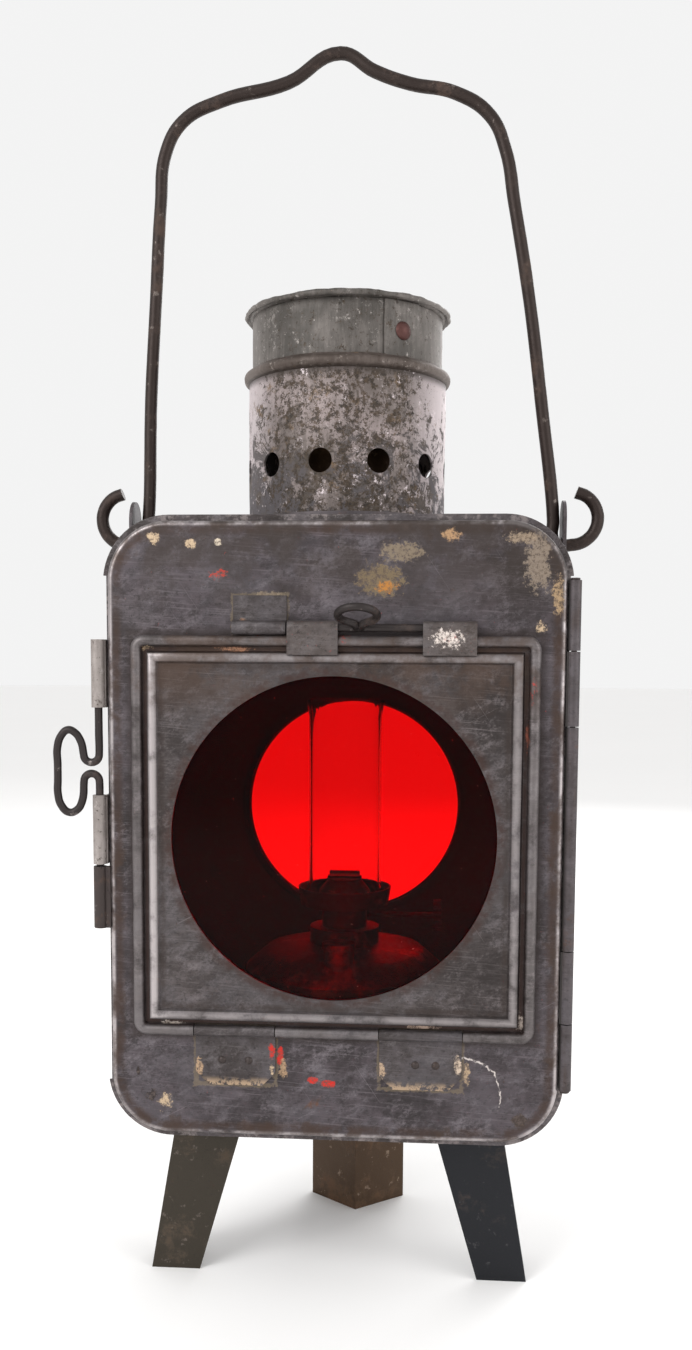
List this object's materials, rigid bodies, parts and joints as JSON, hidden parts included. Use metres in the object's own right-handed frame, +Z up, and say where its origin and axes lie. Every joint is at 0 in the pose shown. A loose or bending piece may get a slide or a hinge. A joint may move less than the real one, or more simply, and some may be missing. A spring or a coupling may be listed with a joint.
{
  "type": "railway signal lantern",
  "caption": "Oil-burning railway signal lantern: sheet casing on three legs, hinged door and red lens frame, vented chimney, wire bail and inner oil burner.",
  "frame": {"origin": "On the ground between the three legs, on the vertical axis of the chimney and burner.", "axes": "+X to the right as the red lens is looked at, +Y towards the back window, +Z up; the door faces -Y."},
  "size_m": [0.2488, 0.1646, 0.5811],
  "materials": {
    "painted_steel": "worn dark paint on steel sheet, brown rust at the edges",
    "door_steel": "worn dark grey paint with bare bright edges, rust and old paint spots",
    "tinned_sheet": "dull tinned sheet, mottled with white corrosion and rust",
    "tinned_guide": "light grey tinned sheet",
    "rusted_rivet": "rusted domed rivet",
    "rusted_leg": "rusty brown sheet",
    "left_leg": "dark brown green worn sheet",
    "right_leg": "near black paint",
    "bail_iron": "dark brown iron rod",
    "wire_iron": "dark iron wire",
    "burner_brass": "aged brass",
    "red_glass": "deep red glass",
    "clear_glass": "clear glass",
    "wick_cotton": "woven cotton wick"
  },
  "bodies": {
    "casing": {"casing_shell": "painted_steel", "casing_front_flange": "painted_steel", "back_plate": "painted_steel", "back_window_ring": "painted_steel", "back_glass": "clear_glass", "chimney_base_ring": "tinned_sheet", "chimney_cylinder": "tinned_sheet", "chimney_bead": "tinned_sheet", "chimney_band": "tinned_sheet", "band_lap_strip": "tinned_sheet", "band_rivet": "rusted_rivet", "chimney_cap": "tinned_sheet", "inner_cowl": "painted_steel", "leg_front_left": "left_leg", "leg_front_right": "right_leg", "leg_back": "rusted_leg", "leg_rivets": "right_leg", "bail_ear_left": "painted_steel", "bail_ear_right": "painted_steel", "ear_rivets": "painted_steel", "casing_hinge_knuckles": "painted_steel", "door_hinge_pin": "wire_iron", "bolt_guide_upper": "tinned_guide", "bolt_guide_lower": "tinned_guide", "side_rivets": "painted_steel", "font_tray": "painted_steel", "oil_font": "burner_brass", "burner_collar": "burner_brass", "burner_gallery": "burner_brass", "burner_cone": "burner_brass", "wick_tube": "burner_brass", "lamp_glass": "clear_glass"},
    "door": {"door_plate": "door_steel", "door_hinge_knuckles": "painted_steel", "door_bolt_keeper": "painted_steel", "latch_keeper": "door_steel", "lens_hinge_leaf_left": "door_steel", "lens_hinge_leaf_right": "door_steel", "lens_leaf_rivets": "wire_iron", "lens_hinge_pin": "wire_iron"},
    "lens_frame": {"lens_frame": "door_steel", "red_glass": "red_glass", "glass_retainer": "door_steel", "latch_guide_left": "door_steel", "latch_guide_right": "door_steel"},
    "bail": {"bail": "bail_iron"},
    "door_bolt": {"door_bolt": "wire_iron"},
    "lens_latch": {"lens_latch_bolt": "wire_iron"},
    "wick_winder": {"wick_knob": "burner_brass"},
    "wick": {"wick": "wick_cotton"},
    "filler_cap": {"filler_cap": "burner_brass"}
  },
  "joints": [
    {"name": "bail_swing", "type": "hinge", "parent": "casing", "child": "bail", "pos_m": [0, 0, 0.35], "axis": [1, 0, 0], "range_deg": [-82, 82]},
    {"name": "door_swing", "type": "hinge", "parent": "casing", "child": "door", "pos_m": [0.1032, -0.0675, 0.216], "axis": [0, 0, 1], "range_deg": [0, 110]},
    {"name": "door_bolt_slide", "type": "slide", "parent": "casing", "child": "door_bolt", "axis": [0, 0, 1], "range_m": [-0.005, 0.017]},
    {"name": "lens_frame_swing", "type": "hinge", "parent": "door", "child": "lens_frame", "pos_m": [0, -0.0728, 0.1295], "axis": [1, 0, 0], "range_deg": [0, 120]},
    {"name": "lens_latch_slide", "type": "slide", "parent": "lens_frame", "child": "lens_latch", "axis": [1, 0, 0], "range_m": [-0.005, 0.016]},
    {"name": "wick_knob_turn", "type": "hinge", "parent": "casing", "child": "wick_winder", "pos_m": [0.02, 0.00445, 0.168], "axis": [1, 0, 0], "range_deg": [-90, 180]},
    {"name": "wick_rise", "type": "slide", "parent": "casing", "child": "wick", "axis": [0, 0, 1], "range_m": [-0.0101, 0.0051]},
    {"name": "filler_cap_turn", "type": "hinge", "parent": "casing", "child": "filler_cap", "pos_m": [0, -0.035, 0.16], "axis": [0, 0, 1], "continuous": true}
  ],
  "couplings": [
    {"joint": "wick_rise", "follows": "wick_knob_turn", "m_per_rad": -0.0032}
  ]
}
